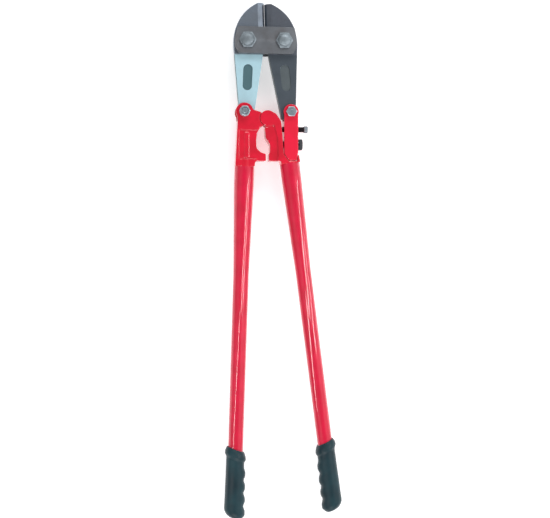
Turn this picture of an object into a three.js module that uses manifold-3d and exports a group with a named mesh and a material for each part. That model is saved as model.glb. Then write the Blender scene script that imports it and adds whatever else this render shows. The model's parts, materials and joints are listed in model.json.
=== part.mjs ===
// Bolt cutters of the 36 inch class, lying flat with the jaws closed.
// Millimetres. X is the width, Y runs from the grips to the jaws, Z is the thickness, front face up.
// While the parts are made, X = 0 is the centre hinge and Y = 0 is the line of the two tail pivots.

import * as THREE from 'three';
import { mergeVertices } from 'three/addons/utils/BufferGeometryUtils.js';
import Module from 'manifold-3d';

const wasm = await Module();
wasm.setup();

const degrees = Math.PI / 180;

// ---- clearances ----
const seatGap = 0.3;            // between two faces that touch
const slideGap = 0.4;           // beside a piece that turns between two others
const boltGap = 0.3;            // around a shank in its hole

// ---- linkage ----
const pivotSpan = 41.3;         // tail pivots from the centre line
const centreDrop = 11.5;        // centre hinge below the line of the tail pivots
const bladeReach = 125.4;       // blade pivot to tail pivot
const toeIn = 4.1 * degrees;    // each blade leans towards the other
const headLean = 1.7 * degrees; // the closed head leans to the left
const edgeGap = 0.6;            // between the two cutting edges when closed

// ---- blades ----
const bladeThick = 20;
const headRise = 66.7;          // blade pivot to the top of the jaws
const headFlat = 11;            // flat at the top of each jaw
const bladeOuter = 24;          // blade pivot to the outer edge
const tailOuter = 9.4;          // tail pivot to the outer edge above it
const tailInner = 17;           // tail pivot to the inner edge
const tailEye = 13;             // round end about the tail pivot
const bevelWide = 12;           // shallow bevel from the cutting edge
const bevelSteep = 3.5;         // steep bevel from the cutting edge
const bevelShallowDrop = 3;
const edgeLand = 0.9;           // half the width of the blunt cutting edge
const pocketLength = 45.8;
const pocketWidth = 16.4;
const pocketDepth = 1.6;
const pocketDown = 64.6;        // blade pivot to the middle of the pocket

// ---- head plates and their bolts ----
const plateThick = 9.5;
const plateRise = 23.6;         // from the line of the blade pivots to either long edge
const plateOverhang = 22.2;     // beyond each blade pivot
const bladeBoltRadius = 9;
const bladeHexFlats = 26.5;
const bladeHexHeight = 4.2;
const domeRadius = 11.5;
const domeHeight = 6.2;
const lockWasherThick = 2.6;
const bladeNutHeight = 12;

// ---- tail bolts ----
const tailBoltRadius = 5;
const tailHexFlats = 16.6;
const tailHeadHeight = 6.4;
const tailNutHeight = 8;
const tailWasherThick = 1.6;
const tailWasherRadius = 9.4;
const boltEnd = 1.4;            // bolt thread past its nut

// ---- castings ----
const castingHalf = 16.4;       // half the thickness of either casting
const tailSweep = 19.6;         // room for a blade's tail to turn in its fork
const leftEye = 15.5;
const knuckleRadius = 14;
const tongueHalf = 8;
const centrePinRadius = 6;
const frontSkin = 3;            // closes the centre pin's hole at the front
const lugGap = 5.2;             // between the two stop lugs
const webRecess = 2.6;
const panelRaise = 1.2;

// ---- adjuster ----
const armHalfWidth = 12.5;
const armEye = 13.5;
const armLength = 86;           // tail pivot to the foot of the arm
const armPlay = 0.6;            // around the foot, so that the arm can rock
const rockIn = 1.0 * degrees;   // the arm rocks towards the middle
const rockOut = 0.5 * degrees;  // and away from it
const linkPlay = 4.4;           // the right tail bolt's travel in its slot as the handles open
const slotSpare = 0.1;
const openTurn = 47.5 * degrees;   // the right casting's turn against its blade, handles fully open
const screwDown = 30;           // adjusting screw below the tail pivots
const screwRadius = 5;
const screwStand = 11.7;        // screw shank outside the arm
const screwHeadRadius = 6.25;
const screwHeadLength = 6.8;
const lockRise = 29;            // lock bolt above the foot of the arm
const lockBoltRadius = 6;
const lockHexFlats = 18.8;
const lockHeadHeight = 6;
const lockWasherRadius = 10.2;
const lockPlateThick = 2;
const lockReach = 18;           // lock bolt thread inside the right casting
const lockHoleGap = 1.2;

// ---- handles ----
const socketRadius = 17.5;      // tube at the casting
const tubeRadius = 13.7;        // tube where its taper ends
const tubeEndRadius = 13;       // tube under the grip
const tubeWall = 2.5;
const taperStart = 30;
const taperLength = 160;
const spigotLength = 28;
const socketRise = 24;          // round shank of the left casting above its tube
const handleLength = 621;       // top of the tube to the tip of the grip
const leftRoot = [0.9 - pivotSpan, -armLength - 12];
const rightRoot = [pivotSpan - 1.1, -armLength - 5.5];
const leftLean = -1.8 * degrees;
const rightLean = 7.27 * degrees;

// ---- grips ----
const gripLength = 123;
const gripRadius = 16;
const gripSwell = 1.6;          // extra radius at the tip
const collarRim = 14.9;         // radius of the collar's rim, at the tube
const collarRadius = 18.7;
const collarRound = 1.6;        // half the length of the collar's rounded ridge
const collarRidge = 12;         // rim to ridge
const collarLength = 20;
const gripSlant = 0.34;         // rise of the grip's rim per millimetre across
const bumpCount = 4;
const bumpPitch = 22.8;
const bumpFirst = 38;           // rim to the first finger rest
const bumpRaise = 2.6;
const gripTip = 14;             // rounded end
const tubeInGrip = 99;

// ---- smoothness ----
const roundSteps = 28;
const smallSteps = 20;
const curveSteps = 9;
const shoulderSteps = 20;
const bendPerStep = 18 * degrees;
const shortestCut = 0.3;        // a fillet that takes less than this off an edge stays a corner

// ---- values that follow from those above ----
const bladeHalf = bladeThick / 2;
const plateLow = bladeHalf + seatGap;
const plateHigh = plateLow + plateThick;
const cheekLow = bladeHalf + slideGap;
const leftTail = [-pivotSpan, 0];
const rightTail = [pivotSpan, 0];
const centre = [0, -centreDrop];
const leftPivot = [
  leftTail[0] + bladeReach * Math.sin(toeIn - headLean),
  bladeReach * Math.cos(toeIn - headLean),
];
const rightPivot = [
  rightTail[0] - bladeReach * Math.sin(toeIn + headLean),
  bladeReach * Math.cos(toeIn + headLean),
];
const plateAcross = rightPivot[0] - leftPivot[0];
const plateSlope = rightPivot[1] - leftPivot[1];
const plateSpacing = Math.hypot(plateAcross, plateSlope);
const plateTilt = Math.atan2(plateSlope, plateAcross);
const edgeReach = (plateSpacing * Math.cos(headLean - plateTilt) - edgeGap) / 2;
const armRightFace = pivotSpan + armHalfWidth;
const armLeftFace = pivotSpan - armHalfWidth;
const rockPoint = [armLeftFace + 4.2, 6 - armLength];
const lockDown = armLength - lockRise;
const archOuter = armLeftFace - 3.6;      // right casting beside the adjuster arm
const archScrewFace = archOuter - 0.1;    // where the adjusting screw bears on it
const archLockFace = archOuter + 1.8;     // where the lock bolt enters it

// ---- colours ----
const colours = {
  redPaint: { color: 0xe02038, roughness: 0.28, metalness: 0.0 },
  bladeSteel: { color: 0x767d86, roughness: 0.38, metalness: 1.0 },
  plateSteel: { color: 0x676d74, roughness: 0.45, metalness: 1.0 },
  zincSteel: { color: 0x8f9ba5, roughness: 0.32, metalness: 1.0 },
  blackOxide: { color: 0x25282b, roughness: 0.5, metalness: 0.8 },
  gripRubber: { color: 0x1c3238, roughness: 0.6, metalness: 0.0 },
};

// ---- tools for shaping ----

function solid(geometry) {
  const bare = geometry.clone();
  bare.deleteAttribute('normal');
  bare.deleteAttribute('uv');
  const merged = mergeVertices(bare, 1e-4);
  const index = merged.index.array;
  const triangles = [];
  for (let i = 0; i < index.length; i += 3) {
    const [a, b, c] = [index[i], index[i + 1], index[i + 2]];
    if (a !== b && b !== c && c !== a) triangles.push(a, b, c);
  }
  return new wasm.Manifold(new wasm.Mesh({
    numProp: 3,
    vertProperties: new Float32Array(merged.attributes.position.array),
    triVerts: new Uint32Array(triangles),
  }));
}

function geometryOf(manifold) {
  const mesh = manifold.getMesh();
  const geometry = new THREE.BufferGeometry();
  geometry.setAttribute('position', new THREE.BufferAttribute(mesh.vertProperties, 3));
  geometry.setIndex(new THREE.BufferAttribute(mesh.triVerts, 1));
  geometry.computeVertexNormals();
  return geometry;
}

// A closed outline through corners [x, y, fillet]; side -1 mirrors it across X = 0.
function outline(corners, side = 1) {
  const points = corners.map(([x, y]) => new THREE.Vector2(side * x, y));
  const path = [];
  points.forEach((point, i) => {
    const before = points[(i + points.length - 1) % points.length];
    const after = points[(i + 1) % points.length];
    const fillet = corners[i][2] ?? 0;
    const inward = before.clone().sub(point);
    const onward = after.clone().sub(point);
    const room = 0.49 * Math.min(inward.length(), onward.length());
    const cosine = inward.dot(onward) / (inward.length() * onward.length());
    const bend = Math.PI - Math.acos(Math.max(-1, Math.min(1, cosine)));
    const cut = Math.min(fillet * Math.tan(bend / 2), room);
    if (cut < shortestCut) {
      path.push(point);
      return;
    }
    const start = point.clone().add(inward.setLength(cut));
    const end = point.clone().add(onward.setLength(cut));
    const round = new THREE.QuadraticBezierCurve(start, point, end);
    path.push(...round.getPoints(Math.ceil(bend / bendPerStep)));
  });
  return new THREE.Shape(path);
}

// A stadium outline about (x, y), turned by an angle.
function stadium(x, y, length, width, turn) {
  const radius = width / 2;
  const reach = length / 2 - radius;
  const shape = new THREE.Shape();
  const [dx, dy] = [-Math.sin(turn) * reach, Math.cos(turn) * reach];
  shape.absarc(x + dx, y + dy, radius, turn, turn + Math.PI, false);
  shape.absarc(x - dx, y - dy, radius, turn + Math.PI, turn + 2 * Math.PI, false);
  shape.closePath();
  return shape;
}

function slab(shape, low, high, steps = curveSteps) {
  const options = { depth: high - low, bevelEnabled: false, curveSegments: steps };
  const geometry = new THREE.ExtrudeGeometry(shape, options);
  geometry.translate(0, 0, low);
  return solid(geometry);
}

// A cylinder along Z; six sides and a flat-to-flat size make it a hexagon.
function drum([x, y], radius, low, high, steps = roundSteps) {
  const geometry = new THREE.CylinderGeometry(radius, radius, high - low, steps);
  geometry.rotateX(Math.PI / 2);
  geometry.translate(x, y, (low + high) / 2);
  return solid(geometry);
}

// A cylinder along X.
function bar(y, radius, low, high, steps = smallSteps) {
  const geometry = new THREE.CylinderGeometry(radius, radius, high - low, steps);
  geometry.rotateZ(Math.PI / 2);
  geometry.translate((low + high) / 2, y, 0);
  return solid(geometry);
}

function hexRadius(flats) {
  return flats / Math.sqrt(3);
}

function lathe(profile, steps = roundSteps) {
  const points = profile.map(([radius, along]) => new THREE.Vector2(radius, along));
  return new THREE.LatheGeometry(points, steps);
}

// The matrix that takes a piece drawn down the -Y axis onto a handle.
function handlePlace(root, lean) {
  return new THREE.Matrix4().makeTranslation(root[0], root[1], 0)
    .multiply(new THREE.Matrix4().makeRotationZ(lean));
}

function piece(name, shape, colour) {
  const geometry = shape.isBufferGeometry ? shape : geometryOf(shape);
  const mesh = new THREE.Mesh(geometry, new THREE.MeshStandardMaterial(colours[colour]));
  mesh.name = name;
  return mesh;
}

function place(mesh, [x, y], turn = 0) {
  mesh.position.set(x, y, 0);
  mesh.rotation.z = turn;
  return mesh;
}

// ---- blades ----

// The outline of a blade about its own pivot, with the cutting edge towards +X on side 1.
function bladeShape(side) {
  const tail = [-bladeReach * Math.sin(toeIn), -bladeReach * Math.cos(toeIn)];
  const tailCorner = 6;
  const at = (x, y) => [side * x, y];
  const shape = new THREE.Shape();
  shape.moveTo(...at(edgeReach, headRise));
  shape.lineTo(...at(edgeReach - headFlat, headRise));
  shape.quadraticCurveTo(...at(0.5 - bladeOuter, 0.68 * headRise), ...at(-bladeOuter, -6));
  shape.lineTo(...at(tail[0] - tailOuter, tail[1] + tailEye));
  shape.lineTo(...at(tail[0] - tailOuter, tail[1]));
  shape.lineTo(...at(tail[0], tail[1] - tailEye));
  shape.lineTo(...at(tail[0] + tailInner - tailCorner, tail[1] - tailEye));
  shape.quadraticCurveTo(
    ...at(tail[0] + tailInner, tail[1] - tailEye),
    ...at(tail[0] + tailInner, tail[1] - tailEye + tailCorner),
  );
  shape.lineTo(...at(edgeReach - 6, -plateRise - 8));
  shape.lineTo(...at(edgeReach - 4.5, 4 - plateRise));
  shape.quadraticCurveTo(...at(edgeReach - 1, 0), ...at(edgeReach, 0.6 * plateRise));
  shape.closePath();
  return { shape, tail: at(...tail) };
}

// The wedge taken off one face of a jaw, between the plates' top edge and the jaw's tip.
function bevelWedge(side, face) {
  const wedge = new THREE.Shape();
  const start = 0.68 * plateRise;
  const corners = [
    [edgeReach - bevelWide, bladeHalf],
    [edgeReach - bevelSteep, bladeHalf - bevelShallowDrop],
    [edgeReach, edgeLand],
    [edgeReach + 1, edgeLand],
    [edgeReach + 1, bladeHalf + 1],
    [edgeReach - bevelWide, bladeHalf + 1],
  ];
  wedge.setFromPoints(corners.map(([x, z]) => new THREE.Vector2(side * x, face * z)));
  const depth = headRise + 1 - start;
  const geometry = new THREE.ExtrudeGeometry(wedge, { depth, bevelEnabled: false });
  geometry.rotateX(Math.PI / 2);
  geometry.translate(0, headRise + 1, 0);
  return solid(geometry);
}

// One blade. The tail bolt's hole is longer and wider by the given room on each side of the bolt.
function blade(side, room) {
  const { shape, tail } = bladeShape(side);
  let body = slab(shape, -bladeHalf, bladeHalf, shoulderSteps)
    .add(drum(tail, tailEye, -bladeHalf, bladeHalf));
  for (const face of [-1, 1]) {
    body = body.subtract(bevelWedge(side, face));
    const floor = face * (bladeHalf - pocketDepth);
    const pocket = stadium(side * -1.4, -pocketDown, pocketLength, pocketWidth, -side * toeIn);
    body = body.subtract(slab(pocket, Math.min(floor, face * (bladeHalf + 1)),
      Math.max(floor, face * (bladeHalf + 1))));
  }
  body = body.subtract(drum([0, 0], bladeBoltRadius + boltGap, -bladeHalf - 1, bladeHalf + 1));
  const holeRadius = tailBoltRadius + boltGap;
  const across = side * (room.inward - room.outward) / 2;
  const up = (room.above - room.below) / 2;
  const [cos, sin] = [Math.cos(headLean), Math.sin(headLean)];
  const slot = stadium(
    tail[0] + across * cos + up * sin, tail[1] - across * sin + up * cos,
    room.inward + room.outward + 2 * holeRadius,
    room.above + room.below + 2 * holeRadius,
    -Math.PI / 2 - headLean,
  );
  return body.subtract(slab(slot, -bladeHalf - 1, bladeHalf + 1));
}

function buildBlades() {
  const lever = Math.hypot(rightTail[0] - rockPoint[0], rightTail[1] - rockPoint[1]);
  const [swingIn, swingOut] = [lever * Math.sin(rockIn), lever * Math.sin(rockOut)];
  const none = { inward: 0, outward: 0, above: 0, below: 0 };
  const room = {
    inward: swingIn + slotSpare,
    outward: linkPlay + swingOut + slotSpare,
    above: swingOut * Math.sin(openTurn) + slotSpare,
    below: swingIn * Math.sin(openTurn) + slotSpare,
  };
  const left = piece('left_blade', blade(1, none), 'bladeSteel');
  const right = piece('right_blade', blade(-1, room), 'bladeSteel');
  return [place(left, leftPivot, headLean), place(right, rightPivot, headLean)];
}

// ---- head plates, bolts, nuts and lock washers ----

function linkPlate(low) {
  const half = plateSpacing / 2 + plateOverhang;
  const halfOutline = [
    [half - 4.5, plateRise, 3],
    [half, 4, 24],
    [half - 0.6, -12, 5],
    [half - 7, -plateRise, 4],
  ];
  const otherHalf = halfOutline.map(([x, y, fillet]) => [-x, y, fillet]).reverse();
  let plate = slab(outline([...halfOutline, ...otherHalf]), low, low + plateThick);
  for (const x of [-plateSpacing / 2, plateSpacing / 2]) {
    plate = plate.subtract(drum([x, 0], bladeBoltRadius + boltGap, low - 1, low + plateThick + 1));
  }
  return plate;
}

function dome(low) {
  const profile = [[0, 0]];
  const steps = 6;
  for (let i = 0; i <= steps; i += 1) {
    const angle = (i / steps) * Math.PI / 2;
    const radius = i === steps ? 0 : domeRadius * Math.cos(angle);
    profile.push([radius, domeHeight * Math.sin(angle)]);
  }
  const geometry = lathe(profile, smallSteps);
  geometry.rotateX(Math.PI / 2);
  geometry.translate(0, 0, low);
  return solid(geometry);
}

function ring(inner, outer, low, high) {
  return drum([0, 0], outer, low, high).subtract(drum([0, 0], inner, low - 1, high + 1));
}

function hexagon(flats, low, high, turn = 0) {
  const geometry = new THREE.CylinderGeometry(hexRadius(flats), hexRadius(flats), high - low, 6);
  geometry.rotateX(Math.PI / 2);
  geometry.rotateZ(turn);
  geometry.translate(0, 0, (low + high) / 2);
  return solid(geometry);
}

function buildHead() {
  const middle = [(leftPivot[0] + rightPivot[0]) / 2, (leftPivot[1] + rightPivot[1]) / 2];
  const headLow = plateHigh + seatGap;
  const headHigh = headLow + bladeHexHeight;
  const washerTop = -plateHigh - seatGap;
  const nutTop = washerTop - lockWasherThick - seatGap;
  const nutLow = nutTop - bladeNutHeight;
  const meshes = [
    place(piece('front_link_plate', linkPlate(plateLow), 'plateSteel'), middle, plateTilt),
    place(piece('rear_link_plate', linkPlate(-plateHigh), 'plateSteel'), middle, plateTilt),
  ];
  for (const [side, pivot] of [['left', leftPivot], ['right', rightPivot]]) {
    const bolt = drum([0, 0], bladeBoltRadius, nutLow + 0.5, headHigh)
      .add(hexagon(bladeHexFlats, headLow, headHigh, Math.PI / 2))
      .add(dome(headHigh - 0.5));
    const washer = ring(bladeBoltRadius + boltGap, 15, washerTop - lockWasherThick, washerTop);
    const nut = hexagon(bladeHexFlats, nutLow, nutTop, Math.PI / 2)
      .subtract(drum([0, 0], bladeBoltRadius + boltGap, nutLow - 1, nutTop + 1));
    meshes.push(
      place(piece(`${side}_blade_bolt`, bolt, 'zincSteel'), pivot),
      place(piece(`${side}_blade_lock_washer`, washer, 'zincSteel'), pivot),
      place(piece(`${side}_blade_nut`, nut, 'zincSteel'), pivot),
    );
  }
  return meshes;
}

// ---- tail bolts: the head on one face, a washer and nut on the other ----

function buildTailBolt(side, at, headFace) {
  const face = castingHalf + seatGap;
  const nutFace = face + tailWasherThick + seatGap;
  const end = nutFace + tailNutHeight + boltEnd;
  const between = (a, b) => [Math.min(headFace * a, headFace * b), Math.max(headFace * a, headFace * b)];
  const bolt = drum([0, 0], tailBoltRadius, ...between(-end, face + 1), smallSteps)
    .add(hexagon(tailHexFlats, ...between(face, face + tailHeadHeight)));
  const washer = ring(tailBoltRadius + boltGap, tailWasherRadius, ...between(-face, -face - tailWasherThick));
  const nut = hexagon(tailHexFlats, ...between(-nutFace, -nutFace - tailNutHeight))
    .subtract(drum([0, 0], tailBoltRadius + boltGap, ...between(-nutFace + 1, -end), smallSteps));
  return [
    place(piece(`${side}_tail_bolt`, bolt, 'zincSteel'), at),
    place(piece(`${side}_tail_washer`, washer, 'zincSteel'), at),
    place(piece(`${side}_tail_nut`, nut, 'zincSteel'), at),
  ];
}

// ---- castings ----

// The round shank that a tube slides over, with the shoulder that the tube butts against.
function socket(root, lean, rise) {
  const shoulder = new THREE.CylinderGeometry(socketRadius - 0.1, socketRadius - 0.1, rise, roundSteps);
  shoulder.translate(0, rise / 2, 0);
  shoulder.applyMatrix4(handlePlace(root, lean));
  const spigotRadius = socketRadius - tubeWall - seatGap;
  const spigot = new THREE.CylinderGeometry(spigotRadius, spigotRadius, spigotLength + 2, smallSteps);
  spigot.translate(0, 1 - spigotLength / 2, 0);
  spigot.applyMatrix4(handlePlace(root, lean));
  return solid(shoulder).add(solid(spigot));
}

// Takes a shallow web out of both faces of a casting.
function recessFaces(body, shape) {
  const floor = castingHalf - webRecess;
  const above = castingHalf + 3;
  return body.subtract(slab(shape, floor, above)).subtract(slab(shape, -above, -floor));
}

const lugFoot = -armLength - 1.1;
const lugTop = lugFoot + 12.6;
const lugMiddle = -0.7;
const lugLeft = lugMiddle - lugGap / 2;
const lugRight = lugMiddle + lugGap / 2;

function leftYoke() {
  const [eyeX, eyeY] = leftTail;
  const rootLeft = leftRoot[0] - socketRadius;
  const rootRight = leftRoot[0] + socketRadius;
  const body = outline([
    [eyeX - 13.2, eyeY],
    [eyeX - 12.3, eyeY - 18, 20],
    [rootLeft + 0.3, leftRoot[1] + 2],
    [rootRight - 0.5, leftRoot[1] + 1],
    [rootRight + 0.6, lugFoot, 7],
    [lugLeft, lugFoot, 1.5],
    [lugLeft, lugTop, 1.5],
    [lugLeft - 8.3, lugTop + 2.3, 8],
    [-19.8, lugTop + 9.5, 8],
    [-20.6, -50, 20],
    [-18.7, -37, 8],
    [-13.5, -28, 5],
    [-9, -25.5],
    [0, -centreDrop - 8],
    [0, -centreDrop + 6],
    [-6, -4],
    [-12.2, -0.8, 4],
    [-24.3, 2.6, 5],
    [eyeX + 10, eyeY + 6],
    [eyeX, eyeY + 8],
  ]);
  const web = outline([
    [eyeX - 10.2, -32.5, 3],
    [0, -32.5],
    [0, lugFoot - 5],
    [-16, lugFoot - 5],
    [-20, lugFoot + 3.1, 4],
    [eyeX - 10.2, lugFoot + 3.1, 3],
  ]);
  const panel = outline([
    [eyeX + 0.3, -37, 2],
    [eyeX + 7.8, -37, 2],
    [eyeX + 7.8, lugFoot + 6, 2],
    [eyeX + 0.3, lugFoot + 6, 2],
  ]);
  const bladeRoom = outline([
    [eyeX, eyeY - 2],
    [eyeX + tailInner + 3.5, eyeY - 2],
    [eyeX + tailInner + 6, eyeY + 10],
    [eyeX, eyeY + 10],
  ]);
  const panelTop = castingHalf - webRecess + panelRaise;
  const clear = knuckleRadius + 0.6;
  let yoke = slab(body, -castingHalf, castingHalf)
    .add(drum(leftTail, leftEye, -castingHalf, castingHalf))
    .add(socket(leftRoot, leftLean, socketRise));
  yoke = recessFaces(yoke, web).add(slab(panel, -panelTop, panelTop));
  yoke = yoke
    .subtract(drum(centre, clear, tongueHalf, castingHalf + 1))
    .subtract(drum(centre, clear, -castingHalf - 1, -tongueHalf))
    .add(drum(centre, knuckleRadius - seatGap, -tongueHalf, tongueHalf))
    .subtract(drum(centre, centrePinRadius + boltGap, -castingHalf - 1, castingHalf + 1, smallSteps))
    .subtract(drum(leftTail, tailSweep, -cheekLow, cheekLow))
    .subtract(slab(bladeRoom, -cheekLow, cheekLow))
    .subtract(drum(leftTail, tailBoltRadius + boltGap, -castingHalf - 1, castingHalf + 1, smallSteps));
  return yoke;
}

// The foot of the adjuster arm, whose corners the right casting's seat follows.
const footChamfer = [8.1, 12.4];
const footLeft = [armLeftFace, -armLength + footChamfer[1]];
const footMiddle = [armLeftFace + footChamfer[0], -armLength];
const footRight = [armRightFace - 2.6, -armLength];
const kneeRight = [armRightFace, -armLength + 13];

function rightYoke() {
  const rootLeft = rightRoot[0] - socketRadius;
  const rootRight = rightRoot[0] + socketRadius;
  const body = outline([
    [4, -1],
    [13, -1.5, 8],
    [archOuter - 1.6, -17, 12],
    [archOuter, -35, 10],
    [footLeft[0] - armPlay, footLeft[1] - armPlay],
    [footMiddle[0] - armPlay, footMiddle[1] - armPlay, 2],
    [footRight[0] + armPlay, footRight[1] - armPlay],
    [kneeRight[0] + armPlay, kneeRight[1] - armPlay, 0.6],
    [rootRight - 1.2, -armLength + 2, 4],
    [rootRight - 0.4, rightRoot[1] + 3.2],
    [rootLeft + 0.9, rightRoot[1] - 1],
    [rootLeft + 0.5, lugFoot, 5],
    [lugRight, lugFoot, 1.5],
    [lugRight, lugTop, 1.5],
    [lugRight + 1.8, lugTop + 2, 2],
    [lugRight + 2, -58, 5],
    [-3.9, -46, 6],
    [-5.1, -30, 4],
    [-4, -22],
  ]);
  const web = outline([
    [-9, -28],
    [11.5, -23, 3],
    [17, -47, 10],
    [18.5, lugFoot + 7, 6],
    [14, lugFoot - 5],
    [-9, lugFoot - 5],
  ]);
  const rootRise = socketRadius * Math.sin(rightLean);
  const ledgeRoom = -armLength - armPlay - rightRoot[1] - rootRise;
  const clear = knuckleRadius + seatGap;
  const tongueRoom = tongueHalf + seatGap;
  const yoke = recessFaces(slab(body, -castingHalf, castingHalf), web)
    .add(drum(centre, knuckleRadius, -castingHalf, castingHalf))
    .add(socket(rightRoot, rightLean, ledgeRoom))
    .subtract(drum(centre, clear, -tongueRoom, tongueRoom))
    .subtract(drum(centre, centrePinRadius + boltGap, -castingHalf - 1, castingHalf - frontSkin, smallSteps))
    .subtract(bar(-lockDown, lockBoltRadius + boltGap, archLockFace - lockReach - seatGap, armRightFace + 3));
  return yoke;
}

function adjusterArm() {
  const [x, y] = rightTail;
  const body = outline([
    [armLeftFace, y],
    footLeft,
    [...footMiddle, 2],
    [...footRight, 2],
    [...kneeRight, 6],
    [armRightFace, y],
  ]);
  const padLow = -Math.min(screwDown + 8, lockDown - lockWasherRadius - 1);
  const pad = outline([
    [armRightFace - 3, -tailSweep - 1],
    [armRightFace - 3, padLow],
    [armRightFace + 1, padLow, 0.8],
    [armRightFace + 1, -tailSweep - 2, 0.8],
  ]);
  return slab(body, -castingHalf, castingHalf)
    .add(drum([x, y], armEye, -castingHalf, castingHalf))
    .add(slab(pad, -9, 9))
    .subtract(drum([x, y], tailSweep, -cheekLow, cheekLow))
    .subtract(drum([x, y], tailBoltRadius + boltGap, -castingHalf - 1, castingHalf + 1, smallSteps))
    .subtract(bar(-screwDown, screwRadius + boltGap, armLeftFace - 2, armRightFace + 3))
    .subtract(bar(-lockDown, lockBoltRadius + lockHoleGap, armLeftFace - 2, armRightFace + 3));
}

function buildCastings() {
  const pinLow = -castingHalf + seatGap;
  const pinHigh = castingHalf - frontSkin - seatGap;
  return [
    piece('left_yoke', leftYoke(), 'redPaint'),
    piece('right_yoke', rightYoke(), 'redPaint'),
    piece('adjuster_arm', adjusterArm(), 'redPaint'),
    place(piece('centre_pin', drum([0, 0], centrePinRadius, pinLow, pinHigh, smallSteps), 'zincSteel'), centre),
  ];
}

// ---- adjusting screw and lock bolt, both across the arm ----

function buildScrews() {
  const tip = archScrewFace + slideGap;
  const screwEnd = armRightFace + screwStand;
  const screw = bar(-screwDown, screwRadius, tip, screwEnd + 1)
    .add(bar(-screwDown, screwHeadRadius, screwEnd, screwEnd + screwHeadLength));
  const washerLow = armRightFace + 0.5;
  const washerHigh = washerLow + lockPlateThick;
  const headLow = washerHigh + seatGap;
  const hexGeometry = new THREE.CylinderGeometry(
    hexRadius(lockHexFlats), hexRadius(lockHexFlats), lockHeadHeight, 6);
  hexGeometry.rotateZ(Math.PI / 2);
  hexGeometry.translate(headLow + lockHeadHeight / 2, -lockDown, 0);
  const bolt = bar(-lockDown, lockBoltRadius, archLockFace - lockReach, headLow + 1).add(solid(hexGeometry));
  const washer = bar(-lockDown, lockWasherRadius, washerLow, washerHigh)
    .subtract(bar(-lockDown, lockBoltRadius + boltGap, washerLow - 1, washerHigh + 1));
  return [
    piece('adjusting_screw', screw, 'blackOxide'),
    piece('lock_bolt', bolt, 'blackOxide'),
    piece('lock_washer', washer, 'blackOxide'),
  ];
}

// ---- handles ----

function tubeShape() {
  const end = handleLength - gripLength + tubeInGrip;
  const outer = [
    [socketRadius, seatGap],
    [socketRadius, taperStart],
    [tubeRadius, taperStart + taperLength],
    [tubeEndRadius, end],
  ];
  const inner = outer.map(([radius, along]) => [radius - tubeWall, along]).reverse();
  const profile = [...outer, ...inner, outer[0]].reverse();
  return lathe(profile.map(([radius, along]) => [radius, -along]), 24);
}

// How far the skin of a grip stands out on the fingers' side, at a distance below its rim.
function fingerRise(along) {
  const last = bumpFirst + (bumpCount - 1) * bumpPitch;
  if (along < bumpFirst - bumpPitch / 2 || along > last + bumpPitch / 2) return 0;
  return bumpRaise * Math.cos(Math.PI * (along - bumpFirst) / bumpPitch) ** 2;
}

// Rings of a grip as [distance below its rim, radius].
function gripRings() {
  const rings = [
    [0, collarRim],
    [collarRidge - collarRound, collarRadius - 0.2 * collarRound],
    [collarRidge, collarRadius],
    [collarRidge + collarRound, collarRadius - 0.2 * collarRound],
    [collarLength, gripRadius],
  ];
  const straightEnd = gripLength - gripTip;
  const steps = 22;
  const swell = (along) => gripSwell * (along / gripLength) ** 2;
  for (let i = 1; i <= steps; i += 1) {
    const along = collarLength + (i / steps) * (straightEnd - collarLength);
    rings.push([along, gripRadius + swell(along)]);
  }
  const tipSteps = 4;
  for (let i = 1; i < tipSteps; i += 1) {
    const angle = (i / tipSteps) * Math.PI / 2;
    const along = straightEnd + gripTip * Math.sin(angle);
    rings.push([along, (gripRadius + swell(along)) * Math.cos(angle) ** 0.7]);
  }
  rings.push([gripLength, 0.35 * gripRadius]);
  return rings;
}

function gripShape(side) {
  const around = 20;
  const rings = gripRings();
  const positions = [];
  const triangles = [];
  const push = (x, along, z) => positions.push(side * x, -along - gripSlant * x, z);
  for (const [along, radius] of rings) {
    for (let k = 0; k < around; k += 1) {
      const angle = (k / around) * 2 * Math.PI;
      const facing = Math.max(0, Math.cos(angle)) ** 1.5;
      const out = radius + fingerRise(along) * facing;
      push(out * Math.cos(angle), along, radius * Math.sin(angle));
    }
  }
  for (let i = 0; i + 1 < rings.length; i += 1) {
    for (let k = 0; k < around; k += 1) {
      const next = (k + 1) % around;
      const [a, b] = [i * around + k, i * around + next];
      triangles.push(a, b, a + around, b, b + around, a + around);
    }
  }
  const last = (rings.length - 1) * around;
  for (let k = 1; k + 1 < around; k += 1) {
    triangles.push(0, k + 1, k, last, last + k, last + k + 1);
  }
  if (side < 0) triangles.reverse();
  const geometry = new THREE.BufferGeometry();
  geometry.setAttribute('position', new THREE.Float32BufferAttribute(positions, 3));
  geometry.setIndex(triangles);
  const bore = new THREE.CylinderGeometry(tubeEndRadius + 0.6, tubeEndRadius + 0.6, tubeInGrip + 20, 24);
  bore.translate(0, 10 - tubeInGrip / 2 - seatGap, 0);
  return geometryOf(solid(geometry).subtract(solid(bore)));
}

function buildHandle(name, side, root, lean) {
  const tube = place(piece(`${name}_tube`, tubeShape(), 'redPaint'), root, lean);
  const grip = piece(`${name}_grip`, gripShape(side), 'gripRubber');
  grip.position.y = gripLength - handleLength;
  const holder = new THREE.Group();
  holder.position.set(root[0], root[1], 0);
  holder.rotation.z = lean;
  holder.add(grip);
  return [tube, holder];
}

// ---- the whole tool, set down with its origin under the middle of its box ----

const tool = new THREE.Group();
tool.add(
  ...buildHead(),
  ...buildBlades(),
  ...buildTailBolt('left', leftTail, -1),
  ...buildTailBolt('right', rightTail, 1),
  ...buildCastings(),
  ...buildScrews(),
  ...buildHandle('left', 1, leftRoot, leftLean),
  ...buildHandle('right', -1, rightRoot, rightLean),
);
tool.updateMatrixWorld(true);
const box = new THREE.Box3().setFromObject(tool, true);
const middle = box.getCenter(new THREE.Vector3());
tool.position.set(-middle.x, -middle.y, -box.min.z);

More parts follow.
